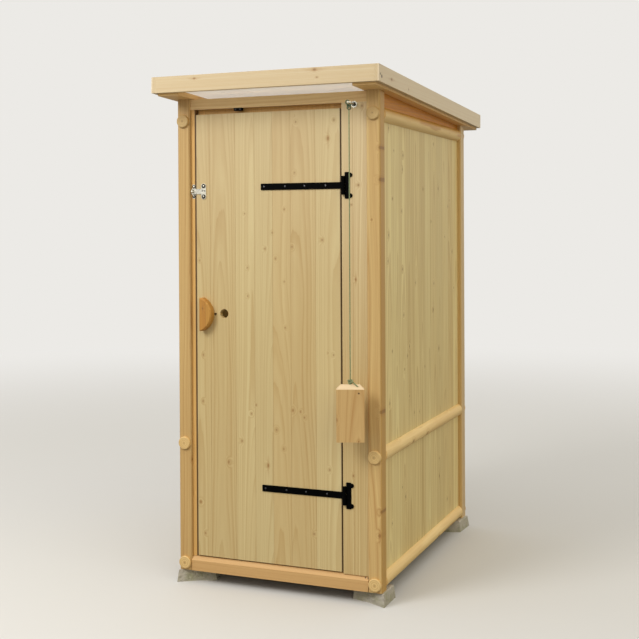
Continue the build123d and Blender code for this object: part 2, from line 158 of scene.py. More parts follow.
class OuthouseSizes(bpy.types.PropertyGroup):
    """Lengths of what is added to the frame, and strengths of the lamps."""

    panel_board: length("Panel board", "Mean width of a glued wall board", 0.092)
    floor_board: length("Floor board", "Width of a floor board", 0.12)
    ring_spacing: length("Ring spacing", "Distance between two growth rings", 0.0034)
    knuckle_ahead: length("Knuckle ahead", "How far a hinge's knuckle stands in front of its strap", 0.012)
    screw_radius: length("Screw radius", "Head of a hinge screw", 0.0036)
    small_screw_radius: length("Small screw radius", "Head of a screw in the roof and the hasp", 0.0034)
    cord_diameter: length("Cord diameter", "Twisted cord over its strands", 0.005)
    cord_lay: length("Cord lay", "Length of one turn of a strand", 0.016)
    sheet_rib: length("Sheet rib", "Distance between the ribs in the roof sheet", 0.0105)
    weight_turn: bpy.props.FloatProperty(name="Weight's turn", description="Turn of the block about its cord",
                                         subtype="ANGLE", default=math.radians(20))
    stage_radius: length("Stage radius", "Radius of the pale floor", 40.0)
    key_strength: power("Key", "Soft lamp from the front left", 150)
    fill_strength: power("Fill", "Soft lamp from the right", 0.66)
    top_strength: power("Top", "Soft lamp from above", 0.9)
    sky_strength: power("Sky", "Even light from all round", 0.55)


def hue(name):
    """The colour setting of this name."""
    return tuple(getattr(bpy.context.scene.outhouse_colours, name))


def shaded(name, factor):
    """The colour setting of this name times a number."""
    return tuple(factor * c for c in hue(name))


def sizes():
    """The size settings of this scene."""
    return bpy.context.scene.outhouse_sizes


# Shader expressions

class Value:
    """A shader socket whose sums, products and comparisons add Math nodes."""

    def __init__(self, shader, socket):
        self.shader, self.socket = shader, socket

    def maths(self, operation, *terms, clamp=False):
        """One Math node on these terms, in their order."""
        return self.shader.node("Math", {"operation": operation, "use_clamp": clamp}, dict(enumerate(terms)))

    def __add__(self, other):
        return self.maths("ADD", self, other)

    __radd__ = __add__

    def __sub__(self, other):
        return self.maths("SUBTRACT", self, other)

    def __rsub__(self, other):
        return self.maths("SUBTRACT", other, self)

    def __mul__(self, other):
        return self.maths("MULTIPLY", self, other)

    __rmul__ = __mul__

    def __truediv__(self, other):
        return self.maths("DIVIDE", self, other)

    def __rtruediv__(self, other):
        return self.maths("DIVIDE", other, self)

    def __pow__(self, other):
        return self.maths("POWER", self, other)

    def __abs__(self):
        return self.maths("ABSOLUTE", self)

    def root(self):
        return self.maths("SQRT", self)

    def fraction(self):
        return self.maths("FRACT", self)

    def at_most(self, other):
        return self.maths("MINIMUM", self, other)

    def at_least(self, other):
        return self.maths("MAXIMUM", self, other)

    def over(self, limit):
        return self.maths("GREATER_THAN", self, limit)

    def clamped(self):
        return self.maths("ADD", self, 0.0, clamp=True)

    def step(self, low, high):
        """Smooth rise from 0 at low to 1 at high."""
        return self.shader.node("MapRange", {"interpolation_type": "SMOOTHSTEP"},
                                {"Value": self, "From Min": low, "From Max": high})


class Shader:
    """The node tree of a new material, or of this world, filled through one method."""

    def __init__(self, name, world=None):
        self.holder = world or bpy.data.materials.new(name)
        self.holder.use_nodes = True
        self.tree = self.holder.node_tree
        self.tree.nodes.clear()

    def node(self, kind, settings=None, sockets=None, output=0):
        """Adds a node of this kind: its settings first, then the values or links of its sockets."""
        made = self.tree.nodes.new("ShaderNode" + kind)
        for key, value in (settings or {}).items():
            setattr(made, key, value)
        for key, value in (sockets or {}).items():
            if isinstance(value, Value):
                self.tree.links.new(value.socket, made.inputs[key])
            elif hasattr(value, "__len__") and len(made.inputs[key].default_value) == 4:
                made.inputs[key].default_value = (*value, 1)[:4]
            else:
                made.inputs[key].default_value = value
        return None if output is None else Value(self, made.outputs[output])

    def other(self, value, output):
        """Another output of the node that made this value."""
        return Value(self, value.socket.node.outputs[output])

    def place(self):
        """The object's own coordinates as a vector."""
        return self.node("TexCoord", output="Object")

    def axes(self):
        """The object's own x, y and z as three numbers."""
        split = self.node("SeparateXYZ", sockets={0: self.place()})
        return split, self.other(split, 1), self.other(split, 2)

    def vector(self, x, y, z):
        return self.node("CombineXYZ", sockets={0: x, 1: y, 2: z})

    def noise(self, place, scale=1.0, detail=2.0, rough=0.5):
        """Noise about 0, from about -0.5 to 0.5."""
        return self.node("TexNoise", {"noise_dimensions": "3D"},
                         {"Vector": place, "Scale": scale, "Detail": detail, "Roughness": rough}) - 0.5

    def mix(self, share, first, second):
        """Colour mix: first where share is 0, second where it is 1."""
        return self.node("Mix", {"data_type": "RGBA"}, {0: share, 6: first, 7: second}, output=2)

    def times(self, tint, factor):
        """Colour times a number."""
        return self.node("VectorMath", {"operation": "SCALE"}, {0: tint, "Scale": factor})

    def finish(self, sockets, height=None, depth=0.001, through=None):
        """Principled surface with these sockets, bumped by height in metres times depth, and the output."""
        if height is not None:
            bump = {"Strength": 1.0, "Distance": depth, "Height": height}
            sockets["Normal"] = self.node("Bump", sockets=bump)
        surface = self.node("BsdfPrincipled", sockets=sockets)
        if through is not None:
            share, tint = through
            glow = self.node("BsdfTranslucent", sockets={"Color": tint})
            surface = self.node("MixShader", sockets={0: share, 1: surface, 2: glow})
        self.node("OutputMaterial", sockets={"Surface": surface}, output=None)
        return self.holder


# Wood

# By the grain's way and the side it's seen from: the axes across the face, into it and along the grain
GRAIN = {"up front": (0, 1, 2), "up side": (1, 0, 2), "across front": (2, 1, 0), "back side": (2, 0, 1),
         "back top": (0, 2, 1)}

# A glued board's joint: where its dark line fades out, and how dark each board may be against the others
GLUE_LINE = (0.0002, 0.0012)
BOARD_CONTRAST = 0.30
BOARD_LIGHT = 0.10

# Knots lie in cells 90 mm wide and 270 mm long, and most cells hold none
KNOT_CELLS = 3.7
KNOT_NARROW = 3.0
KNOT_SLIP = 0.37
KNOT_SIZE = 0.0042
SMALLEST_KNOT = 0.0012
KNOT_WOBBLE = 0.0018

# A board's pith line: how far across and into the board it may lie, how deep at least, and how it leans. Each
# board's pattern is taken from up to this far along the grain.
PITH_ACROSS = 0.09
PITH_DEEP = 0.055
PITH_SKIN = 0.006
PITH_LEAN = 0.006
BOARD_SHIFT = 40

# Growth rings: their spacing as a multiple of the setting, how far they wave, and how often the broad bands
# change per ring and how strong they are. Then, for both, the rings' ripple and their bulge round a knot.
BOARD_RINGS = (1.0, 0.016, 0.22, 1.0)
POLE_RINGS = (2.2, 0.004, 0.42, 1.8)
RING_RIPPLE = 0.0022
KNOT_BULGE = 0.006

# Shares of the patterns in the wood's darkness, and of the tints laid over it
BAND_SHARE = 0.62
STREAK_SHARE = 0.36
FIBRE_SHARE = 0.20
PATCH_SHARE = 0.25
BASE_SHARE = 0.30
GLUE_SHARE = 0.45
# How strongly painted shade covers the wood in holes and along the door's gaps
PAINTED_SHADE_SHARE = 0.8
HALO_SHARE = 0.30
FEATHER_SHARE = 0.32
PITH_SHARE = 0.55
CRACK_SHARE = 0.85

# The wood's mean roughness, the height of its relief in metres, and shares of it: late wood and fibres stand
# out, and knots, joints, cracks and holes lie deeper
WOOD_ROUGHNESS = 0.5
WOOD_RELIEF = 0.0007
LATE_RISE = 0.10
FIBRE_RISE = 0.30
KNOT_SINK = 0.25
JOINT_SINK = 0.8
CRACK_SINK = 2.0


def span(off_u, off_w, flat=1.0):
    """Length of an offset in the face, where w counts less if flat is below 1."""
    return (off_u * off_u + off_w * off_w * flat).root()


def split_boards(s, u, board, seed):
    """The middle of the board that u falls in, the distance to its nearest joint, and three chances of its
    own. A width makes cells of a one-way Voronoi pattern of that mean size; a list gives the joints."""
    if isinstance(board, float):
        cell = {"voronoi_dimensions": "1D"}
        spread = {"W": u + seed, "Scale": 1 / board, "Randomness": 0.7}
        tone = s.node("TexVoronoi", {**cell, "feature": "F1"}, spread, output="Color")
        middle = s.other(tone, "W") - seed
        joint = s.node("TexVoronoi", {**cell, "feature": "DISTANCE_TO_EDGE"}, spread) * board
    else:
        ends = [2 * board[0] - board[1], *board, 2 * board[-1] - board[-2]]
        middles = [(low + high) / 2 for low, high in zip(ends, ends[1:])]
        middle, number, joint = u * 0 + middles[0], u * 0 + seed, 1.0
        for place, step in zip(board, np.diff(middles).tolist()):
            past = u.over(place)
            middle, number, joint = middle + past * step, number + past, abs(u - place).at_most(joint)
        tone = s.node("TexWhiteNoise", {"noise_dimensions": "1D"}, {"W": number}, output="Color")
    parts = s.node("SeparateColor", sockets={0: tone})
    return middle, joint, (parts, s.other(parts, 1), s.other(parts, 2))


def wood(name, grain, timber, board=None, pith=None, face=0.0, seed=0.0, knots=0.5, contrast=1.0, cracks=0.0,
         marks=(), holes=(), edges=(), rings=0.30, fades=(), knot_depth=0.45):
    """Sawn or turned softwood as a solid pattern, in the pale and dark tones of this timber.
    u runs across the face, v into it and w along the grain. Growth rings are circles about a pith line:
    ring = distance from the pith, plus noise that is long along w. Late wood darkens towards the end of each
    ring. Board is the boards' mean width or their joints, and face is the v of their face; a turned pole has
    its pith (u, v) instead. Knots are cells of a flat Voronoi pattern on u and w, of which this share holds
    one, and marks are further knots at (u, w, radius). Holes are dark spots at (u, w, radius), painted
    shade standing in for the shade inside each hole. Edges are (axis, place, width): near that place, within
    width, the wood is darkened with painted shadow, standing in for the shade of a gap beside a board's
    narrow side. Fades are (axis, start, end, strength, colour): away from the middle of the object, the
    wood turns to this colour; they give the rails' tenon ends their tone, and paint light and shade. More
    cracks or rings is more of them, and seed moves the whole pattern."""
    s = Shader(name)
    axes = s.axes()
    u, v, w = (axes[i] for i in GRAIN[grain])
    if board:
        middle, joint, (chance_a, chance_b, chance_c) = split_boards(s, u, board, seed)
        across = u - middle + (chance_a - 0.5) * PITH_ACROSS
        depth = v - face + chance_b * PITH_DEEP + PITH_SKIN
        shift = chance_c * BOARD_SHIFT + seed
        glue = 1 - joint.step(*GLUE_LINE)
    else:
        across, depth, shift, glue = abs(u) - abs(pith[0]), abs(v) - abs(pith[1]), seed, None
    # Knots
    lattice = s.vector((u + seed) * KNOT_NARROW, w + shift * KNOT_SLIP, 0.0)
    nearest_knot = s.node("TexVoronoi", {"voronoi_dimensions": "2D", "feature": "F1"},
                          {"Vector": lattice, "Scale": KNOT_CELLS, "Randomness": 0.9}, output="Position")
    knot_place = s.node("SeparateXYZ", sockets={0: nearest_knot})
    knot_chance = s.node("SeparateColor", sockets={0: s.other(nearest_knot, "Color")})
    off_u = (u + seed) - knot_place / KNOT_NARROW
    off_w = w + shift * KNOT_SLIP - s.other(knot_place, 1)
    size = (knot_chance - (1 - knots)).at_least(0.0) / knots * KNOT_SIZE + SMALLEST_KNOT
    present = knot_chance.step(1 - knots, 1 - knots + 0.02)
    wobble = s.noise(s.vector(u * 220, w * 220, 0.0), detail=1.0) * KNOT_WOBBLE
    reach = (span(off_u, off_w, 0.55) + wobble) / size
    stretched = span(off_u, off_w, 0.018) / size
    knot, halo = (1 - reach.step(0.75, 1.1)) * present, (1 - reach.step(0.8, 2.6)) * present
    feather, bulge = (1 - stretched.step(0.3, 1.7)) * present, (1 - reach.step(0.5, 5.0)) * present
    nearest_mark = None
    for place_u, place_w, radius in marks:
        reach = (span(u - place_u, w - place_w, 0.6) + wobble) / radius
        nearest_mark = nearest_mark.at_most(reach) if nearest_mark else reach
    if nearest_mark:
        knot = knot.at_least(1 - nearest_mark.step(0.7, 1.1))
        halo = halo.at_least(1 - nearest_mark.step(0.8, 3.0))
        bulge = bulge.at_least(1 - nearest_mark.step(0.5, 5.0))
    # Growth rings, and noises that change this often per metre across the grain, u and v, and along it, w
    spacing, wave, rate, strength = BOARD_RINGS if board else POLE_RINGS
    slow = s.noise(s.vector(u * 7, v * 7 + shift, w * 0.9), detail=1.0)
    quick = s.noise(s.vector(u * 34 + shift, v * 34, w * 3.1), detail=2.0)
    lean = (w + shift) * PITH_LEAN if board else 0.0
    radius = (across * across + (depth + lean) ** 2.0).root()
    radius = radius + slow * wave + quick * RING_RIPPLE + bulge * KNOT_BULGE
    ring = radius / (sizes().ring_spacing * spacing)
    saw = ring.fraction()
    late = (saw ** 3.0) * (1 - saw.step(0.96, 1.0))
    wide = {"W": ring * rate + shift, "Detail": 3.0}
    band = (s.node("TexNoise", {"noise_dimensions": "1D"}, wide) - 0.5) * strength
    fibre = s.noise(s.vector(u * 620, v * 620, w * 11), detail=3.0, rough=0.65)
    streak = s.noise(s.vector(u * 95 + shift, v * 95, w * 1.7), detail=2.0)
    patch = s.noise(s.vector(u * 2.3, v * 2.3, w * 1.1 + shift), detail=1.0)
    share = late * rings + band * BAND_SHARE + streak * STREAK_SHARE + fibre * FIBRE_SHARE
    share = (share + patch * PATCH_SHARE) * contrast + BASE_SHARE
    if board:
        share = share + (chance_a - 0.5) * BOARD_CONTRAST * contrast
    tint = s.mix(share.clamped(), hue(timber + "_pale"), hue(timber + "_dark"))
    if board:
        tint = s.times(tint, (chance_c - 0.5) * BOARD_LIGHT + 1.0)
    for axis, start, end, most, faded in fades:
        tint = s.mix(abs(axes["xyz".index(axis)]).step(start, end) * most, tint, hue(faded))
    tint = s.mix((halo * HALO_SHARE + feather * FEATHER_SHARE).clamped(), tint, hue("knot_rim"))
    tint = s.mix((knot * knot_depth).clamped(), tint, hue("knot"))
    if pith:
        tint = s.mix((1 - radius.step(0.001, 0.0055)) * PITH_SHARE, tint, hue("knot"))
    height = late * LATE_RISE + fibre * FIBRE_RISE - knot * KNOT_SINK
    if board:
        tint = s.mix(glue * GLUE_SHARE, tint, hue("knot_rim"))
        height = height - glue * JOINT_SINK
    if cracks:
        line = abs(s.noise(s.vector(u * 42, v * 42 + shift, w * 1.3), detail=1.0))
        where = s.noise(s.vector(u * 9, v * 9, w * 2.1 + shift), detail=0.0)
        split = (1 - line.step(0.0, 0.012)) * where.step(0.42 - cracks, 0.5 - cracks)
        tint = s.mix(split * CRACK_SHARE, tint, hue("crack_and_painted_shade"))
        height = height - split * CRACK_SINK
    # Holes: painted shade, a dark spot standing in for the shade inside each hole
    for place_u, place_w, radius in holes:
        sunk = 1 - (span(u - place_u, w - place_w) / radius).step(0.75, 1.15)
        tint = s.mix(sunk * PAINTED_SHADE_SHARE, tint, hue("crack_and_painted_shade"))
        height = height - sunk * CRACK_SINK
    # Painted shadow: a dark band about each given place, standing in for the shade in a gap
    for axis, place, width in edges:
        gap_shadow = 1 - abs(axes["xyz".index(axis)] - place).step(0.6 * width, width)
        tint = s.mix(gap_shadow * PAINTED_SHADE_SHARE, tint, hue("crack_and_painted_shade"))
    rough = (fibre * 0.25 - late * 0.08 + WOOD_ROUGHNESS).clamped()
    return s.finish({"Base Color": tint, "Roughness": rough, "Specular IOR Level": 0.35}, height, WOOD_RELIEF)


def dress(material, *nodes):
    """Gives the frame's own pieces this material."""
    for name in nodes:
        mesh = NODES[name].data
        if not mesh.materials:
            mesh.materials.append(material)
        for i in range(len(mesh.materials)):
            mesh.materials[i] = material


# Surfaces

# Shares of a screw head's radius and rise: its dome, and its recess with lobes, sloping wall and depth
SCREW_DOME = 0.82
SCREW_RECESS = 0.33
SCREW_LOBE = 0.07
SCREW_SLOPE = 0.10
SCREW_DEPTH = 0.75


def closed_mesh(name, grids, sharp=None):
    """Grids of points, shape (pieces, rows, columns, 3), whose columns close into rings and whose end rows
    close into poles. Faces join each point to the next in its row and column."""
    pieces, rows, columns = grids.shape[:3]
    number = np.arange(pieces * rows * columns).reshape(pieces, rows, columns)
    turn = np.roll(number, -1, axis=2)
    quads = np.stack([number[:, :-1], turn[:, :-1], turn[:, 1:], number[:, 1:]], axis=-1).reshape(-1, 4)
    mesh = bpy.data.meshes.new(name)
    mesh.from_pydata(grids.reshape(-1, 3).tolist(), [], quads.tolist())
    shell = bmesh.new()
    shell.from_mesh(mesh)
    bmesh.ops.remove_doubles(shell, verts=shell.verts, dist=1e-6)
    bmesh.ops.dissolve_degenerate(shell, edges=shell.edges, dist=1e-7)
    bmesh.ops.recalc_face_normals(shell, faces=shell.faces)
    shell.to_mesh(mesh)
    shell.free()
    mesh.polygons.foreach_set("use_smooth", [True] * len(mesh.polygons))
    if sharp:
        mesh.set_sharp_from_angle(angle=math.radians(sharp))
    return mesh


def add_object(name, data):
    """A new object in the scene that holds this mesh, lamp or camera."""
    made = bpy.data.objects.new(name, data)
    bpy.context.scene.collection.objects.link(made)
    return made


def add_piece(name, mesh, material, body):
    """Puts a mesh in the scene at the origin, on its body."""
    piece = add_object(name, mesh)
    mesh.materials.clear()
    mesh.materials.append(material)
    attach(piece, body)
    return piece


def screw_heads(name, places, radius, rise, material, body, turns=0.0):
    """Round screw heads on the front, each with a six-lobed recess. Along t the profile runs from the middle
    over the dome, whose height is the root of 1 less a share of t squared, to the rim at 1 and back in behind
    it. The recess is a step down with a sloping wall, whose radius swells and shrinks six times round."""
    t = np.array([0, .12, .22, .30, .36, .42, .5, .64, .78, .9, 1, 1.02, .9, 0])
    ahead = np.arange(t.size) < t.size - 3
    angle = np.linspace(0, 2 * np.pi, 24, endpoint=False)
    reach = t[:, None] * radius * np.ones(angle.size)
    dome = np.sqrt(np.clip(1 - (SCREW_DOME * t[:, None]) ** 2, 0, 1)) * rise
    lobes = radius * (SCREW_RECESS + SCREW_LOBE * np.cos(6 * angle))
    sunk = np.clip((lobes - reach) / (SCREW_SLOPE * radius) + 0.5, 0, 1) * rise * SCREW_DEPTH
    height = np.where(ahead[:, None], dome - sunk, np.where(t[:, None] > 1, -0.0002, -0.0004))
    x, y, z = np.array(places, float).T[:, :, None, None]
    spin = angle[None, None, :] + (np.zeros(len(places)) + turns)[:, None, None]
    points = np.broadcast_arrays(x - reach * np.cos(spin), y - height, z + reach * np.sin(spin))
    mesh = closed_mesh(name, np.stack(points, axis=-1), sharp=50)
    return add_piece(name, mesh, material, body)


def rope_grids(path, diameter, lay, strands=3, sides=7):
    """A laid rope: each strand's middle is a helix about the path, one turn for each lay, and its skin is a
    circle in the plane across the path. That plane's first axis is the path's direction crossed with Y."""
    steps = np.linalg.norm(np.diff(path, axis=0), axis=1)
    run = np.concatenate([[0], np.cumsum(steps)])
    rows = max(int(run[-1] / lay * 12), 8)
    even = np.linspace(0, run[-1], rows)
    line = np.stack([np.interp(even, run, path[:, i]) for i in range(3)], axis=1)
    along = np.gradient(line, axis=0)
    along /= np.linalg.norm(along, axis=1)[:, None]
    first = np.cross(along, [0, 1, 0])
    first /= np.linalg.norm(first, axis=1)[:, None]
    second = np.cross(along, first)
    strand = diameter * 0.27
    turn = 2 * np.pi * (even[None, :] / lay + np.arange(strands)[:, None] / strands)
    arm = diameter / 2 - strand
    middle = line + arm * (np.cos(turn)[..., None] * first + np.sin(turn)[..., None] * second)
    angle = np.linspace(0, 2 * np.pi, sides, endpoint=False)
    ring = np.cos(angle)[:, None, None] * first + np.sin(angle)[:, None, None] * second
    skin = middle[:, :, None, :] + strand * np.transpose(ring, (1, 0, 2))[None]
    start, end = (np.repeat(middle[:, i:i + 1, None, :], sides, axis=2) for i in (0, rows - 1))
    return np.concatenate([start, skin, end], axis=1)


def add_cord(name, path, material, body):
    """Puts a laid rope along this path in the scene, on its body."""
    dims = sizes()
    mesh = closed_mesh(name, rope_grids(path, dims.cord_diameter, dims.cord_lay))
    return add_piece(name, mesh, material, body)


def smooth_route(points):
    """The points of a smooth spline that has these as its control points."""
    curve = bpy.data.curves.new("route", "CURVE")
    curve.dimensions = "3D"
    spline = curve.splines.new("NURBS")
    spline.points.add(len(points) - 1)
    spline.points.foreach_set("co", np.column_stack([points, np.ones(len(points))]).ravel())
    spline.order_u = 3
    spline.use_endpoint_u = True
    spline.resolution_u = 24
    holder = bpy.data.objects.new("route", curve)
    mesh = bpy.data.meshes.new_from_object(holder)
    found = np.zeros(len(mesh.vertices) * 3)
    mesh.vertices.foreach_get("co", found)
    bpy.data.objects.remove(holder)
    bpy.data.curves.remove(curve)
    bpy.data.meshes.remove(mesh)
    return found.reshape(-1, 3)


def overhand(centre, width, height, depth):
    """A pulled-up overhand knot as a trefoil: x = sin a + 2 sin 2a, z = cos a - 2 cos 2a and y = -sin 3a,
    each divided by its reach, which is 5.2 for x and z and 2 for y, and scaled to the knot's size."""
    a = np.linspace(0, 2 * np.pi, 90)
    trefoil = np.column_stack([(np.sin(a) + 2 * np.sin(2 * a)) / 5.2 * width, -np.sin(3 * a) / 2 * depth,
                               (np.cos(a) - 2 * np.cos(2 * a)) / 5.2 * height])
    return trefoil + np.array(centre)


# Places read from the photograph, in metres: the door's joints and the straps' screws along x, and knots and
# holes as (across the grain, along it, radius). Each hole is a dark spot of painted shade, standing in for
# the shade inside it.

DOOR_JOINTS = (-0.3023, -0.1856, -0.0983, -0.0168, 0.0637, 0.1737)
DOOR_KNOTS = (
    (0.089, 1.926, 0.0035), (0.255, 1.928, 0.004), (0.082, 1.72, 0.003), (0.036, 1.572, 0.003),
    (-0.018, 1.477, 0.0025), (-0.051, 1.411, 0.0035), (0.07, 1.419, 0.0035), (0.203, 1.447, 0.0045),
    (-0.004, 1.371, 0.0035), (-0.354, 1.361, 0.0025), (-0.132, 1.332, 0.003), (-0.131, 1.215, 0.003),
    (0.035, 1.277, 0.0025), (-0.143, 1.556, 0.0025), (0.038, 1.089, 0.003), (-0.338, 0.964, 0.0035),
    (-0.341, 0.769, 0.0035), (-0.355, 0.343, 0.0045), (-0.334, 0.213, 0.0035), (-0.16, 0.613, 0.004),
    (-0.222, 0.521, 0.005), (-0.116, 0.729, 0.0035), (-0.094, 0.766, 0.003), (-0.003, 0.669, 0.004),
    (0.029, 0.593, 0.0035), (0.071, 0.753, 0.0045), (0.104, 0.75, 0.003), (0.121, 0.727, 0.003),
    (0.161, 0.258, 0.004), (0.23, 0.523, 0.0035), (0.25, 0.986, 0.003),
)
DOOR_HOLES = ((-0.284, 1.137, 0.0045),)
SIDE_BOARD_KNOTS = (
    (0.359, 1.665, 0.004), (0.328, 1.587, 0.003), (0.332, 0.507, 0.0035), (0.375, 1.979, 0.004),
)
WALL_KNOTS = (
    (-0.441, 1.614, 0.004), (-0.323, 1.564, 0.0035), (-0.496, 1.465, 0.005), (-0.505, 1.359, 0.0045),
    (-0.311, 1.319, 0.004), (-0.011, 1.666, 0.005), (0.156, 1.878, 0.004), (0.425, 1.624, 0.003),
    (0.401, 1.594, 0.004), (0.472, 1.376, 0.0045), (0.155, 1.236, 0.0045), (0.342, 1.449, 0.0035),
    (-0.131, 1.253, 0.0035), (-0.301, 1.8, 0.004), (0.115, 1.521, 0.003), (-0.424, 1.813, 0.003),
    (-0.298, 1.125, 0.004), (-0.454, 0.987, 0.004), (-0.247, 0.945, 0.004), (-0.288, 0.893, 0.0035),
    (0.234, 0.928, 0.006), (0.007, 0.87, 0.0035), (-0.155, 0.689, 0.0035), (-0.075, 0.68, 0.003),
    (-0.283, 0.35, 0.006), (-0.327, 0.4, 0.004), (0.368, 0.193, 0.0045), (0.233, 0.413, 0.0035),
    (-0.464, 0.281, 0.004),
)
RAIL_KNOTS = ((0.560, -0.303, 0.006), (0.578, -0.233, 0.005), (0.573, -0.022, 0.006))
POST_KNOTS = ((0.4515, 0.768, 0.006), (0.4515, 0.374, 0.005), (0.4520, 1.685, 0.006), (0.4515, 1.811, 0.005))
FRONT_FASCIA_KNOTS = ((2.081, 0.242, 0.003),)
SIDE_FASCIA_KNOTS = ((2.062, -0.420, 0.0035),)
SIDE_FASCIA_HOLES = ((2.083, -0.775, 0.005), (2.075, -0.759, 0.007))
SILL_HOLES = ((0.1058, 0.3803, 0.003), (0.1049, 0.3929, 0.003))
WEIGHT_HOLES = ((0.389, 0.851, 0.0035),)
STRAP_SCREW_X = (-0.0525, 0.0417, 0.1279, 0.2193)

# Screws of a hinge plate: how far in from its right edge, and how far above and below its middle
EAR_SCREW_INSET = 0.009
EAR_SCREW_RISE = 0.041
INNER_SCREW_INSET = 0.0215
INNER_SCREW_RISE = 0.012

# How far the screws' heads stand out, how thick the staple's plate is, and where the catch's screws are, as
# shares of its length
HINGE_SCREW_RISE = 0.0016
CATCH_SCREW_RISE = 0.0018
HASP_SCREW_RISE = 0.0018
STAPLE_SCREW_RISE = 0.0016
STAPLE_THICK = 0.001
CATCH_SCREWS = (0.22, 0.78)

# How far the screws are from the ends of the hasp and its staple, and the dark ring painted round each as a
# dark reflection, on the staple as a multiple of the screw's radius. The hasp has two slots beside its
# middle, painted dark as their shade.
HASP_INSET = 0.011
HASP_DARK_REFLECTION_RING = 0.0098
SLOT_APART = 0.0055
SLOT_RADIUS = 0.0032
SLOT_RISE = 0.002
STAPLE_INSET = 0.010
STAPLE_DARK_REFLECTION_RING = 2.4

# The bore in the cord guide's flange, painted dark as the shade inside it, and how thick the flange is
GUIDE_BORE_INSET = 0.013
GUIDE_BORE = 0.0095
GUIDE_FLANGE = 0.0035

# The block's bevel, and how far its painted light, a paler tone on the bevel and the top, fades in at
# the bevel's foot
BLOCK_BEVEL = 0.018
BEVEL_EDGE = 0.0005

# The cord's loop about the guide's ring, and on the block its knot (width, height, depth), how high that
# stands, and the knot's tail (to the right, ahead, up)
RING_LOOP = ((0.001, 0, -0.006), (0.0005, 0, 0.004), (-0.003, 0, 0.0078), (-0.0085, 0, 0.0078),
             (-0.0132, 0, 0.004), (-0.0134, 0, -0.002), (-0.010, 0, -0.0065), (-0.004, 0, -0.010))
WEIGHT_KNOT = (0.020, 0.016, 0.010)
WEIGHT_KNOT_RISE = 0.0105
WEIGHT_TAIL = ((0, 0, 0.010), (0.010, 0.004, 0.0105), (0.020, 0.009, -0.0015), (0.030, 0.013, -0.0068))

# The cord's relief, where its painted shade, a deep green on the knot under the guide, begins and ends
# from the foot of that knot, and how many points its straight drop has
CORD_RELIEF = 0.0004
CORD_SHADE_SPAN = (-0.004, 0.002)
CORD_POINTS = 5

# The roof sheet: height of its ribs, and the share and colour of the light that comes through
SHEET_RELIEF = 0.0003
SHEET_SHARE = 0.62
SHEET_LIGHT = (0.93, 0.90, 0.86)

# Height of the roughness of the stones
STONE_RELIEF = 0.004

# Fades as (axis, start, end, strength, colour). The rails' own run between these distances in from their
# ends, and the top rails' painted shade under the roof, a deeper tone towards their top, between these
# heights from their middle.
# Painted light: the front side board and the door turn paler towards the top, and the side fascias' outer
# faces paler
SIDE_BOARD_PAINTED_LIGHT = (("z", 0.6, 2.1, 0.26, "painted_light"),)
DOOR_PAINTED_LIGHT = (("z", 0.9, 2.1, 0.14, "painted_light"),)
SIDE_FASCIA_PAINTED_LIGHT = (("x", 0.490, 0.494, 0.5, "painted_light"),)
# Painted shade darkens the front posts' outer sides, and painted light brightens the rear posts' outer sides
POST_SIDE_LIGHT_AND_SHADE = {"front": (("x", 0.4485, 0.452, 0.46, "painted_side_shade"),),
              "rear": (("x", 0.4485, 0.452, 0.2, "painted_light"),)}
TENON_FADE = (0.004, 0.002)
# On the top rails the tenon tone covers most of the painted shade at their ends
TENON_SHADES = {"bottom": 0.3, "middle": 0.3, "top": 0.75}
TOP_RAIL_SHADOW_BAND = (-0.012, 0.024)
TOP_RAIL_PAINTED_SHADE = 0.85

# Widths of the painted shadow at the door's two edges, standing in for the dark gaps round the leaf, and of
# the painted shadow on the stop's front, and how far left of the door the latter is
DOOR_GAP_SHADOWS = (0.0040, 0.0034)
STOP_GAP_SHADOW = 0.004
STOP_GAP_SHADOW_ASIDE = 0.005


# Operators

class OUTHOUSE_OT_boards(bpy.types.Operator):
    """Finish the glued boards: walls, gables, front board, head beam, stops and floor"""

    bl_idname = "outhouse.boards"
    bl_label = "Boards"

    def execute(self, context):
        board = sizes().panel_board
        for side, grain, face, seed, style in (
                ("right", "up side", 0.45, 3.0, {"knots": 0.12, "contrast": 1.2, "marks": WALL_KNOTS}),
                ("left", "up side", -0.45, 11.0, {"knots": 0.34, "contrast": 1.45}),
                ("rear", "up front", 0.62, 7.0, {"knots": 0.34, "contrast": 1.45})):
            boards = wood("panel_" + side, grain, "panel", board=board, face=face, seed=seed, **style)
            dress(boards, f"panel_{side}_upper", f"panel_{side}_lower")
        dress(wood("gable_side", "back side", "gable", board=0.4, face=0.45, seed=1.3, knots=0.3),
              "gable_right", "gable_left")
        dress(wood("gable_rear", "across front", "gable", board=0.4, face=0.6, seed=2.1, knots=0.3),
              "gable_rear")
        # Painted light: the side board turns paler towards its top
        dress(wood("side_board", "up front", "door", board=0.4, face=-0.65, seed=0.9, knots=0.2, contrast=1.2,
                   marks=SIDE_BOARD_KNOTS, fades=SIDE_BOARD_PAINTED_LIGHT), "front_side_board")
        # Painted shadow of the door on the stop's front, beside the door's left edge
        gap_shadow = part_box("door_leaf")[0].x - STOP_GAP_SHADOW_ASIDE
        dress(wood("door_stops", "up front", "stop", board=0.4, face=-0.65, seed=3.9, knots=0.5,
                   edges=(("x", gap_shadow, STOP_GAP_SHADOW),)), "door_stops")
        dress(wood("head_beam", "across front", "front", board=0.4, face=-0.65, seed=5.2, knots=0.3,
                   contrast=1.3), "head_beam")
        dress(wood("floor_boards", "back top", "floor", board=sizes().floor_board, face=0.1, seed=4.0,
                   knots=0.4), "floor", "floor_joists")
        return {"FINISHED"}


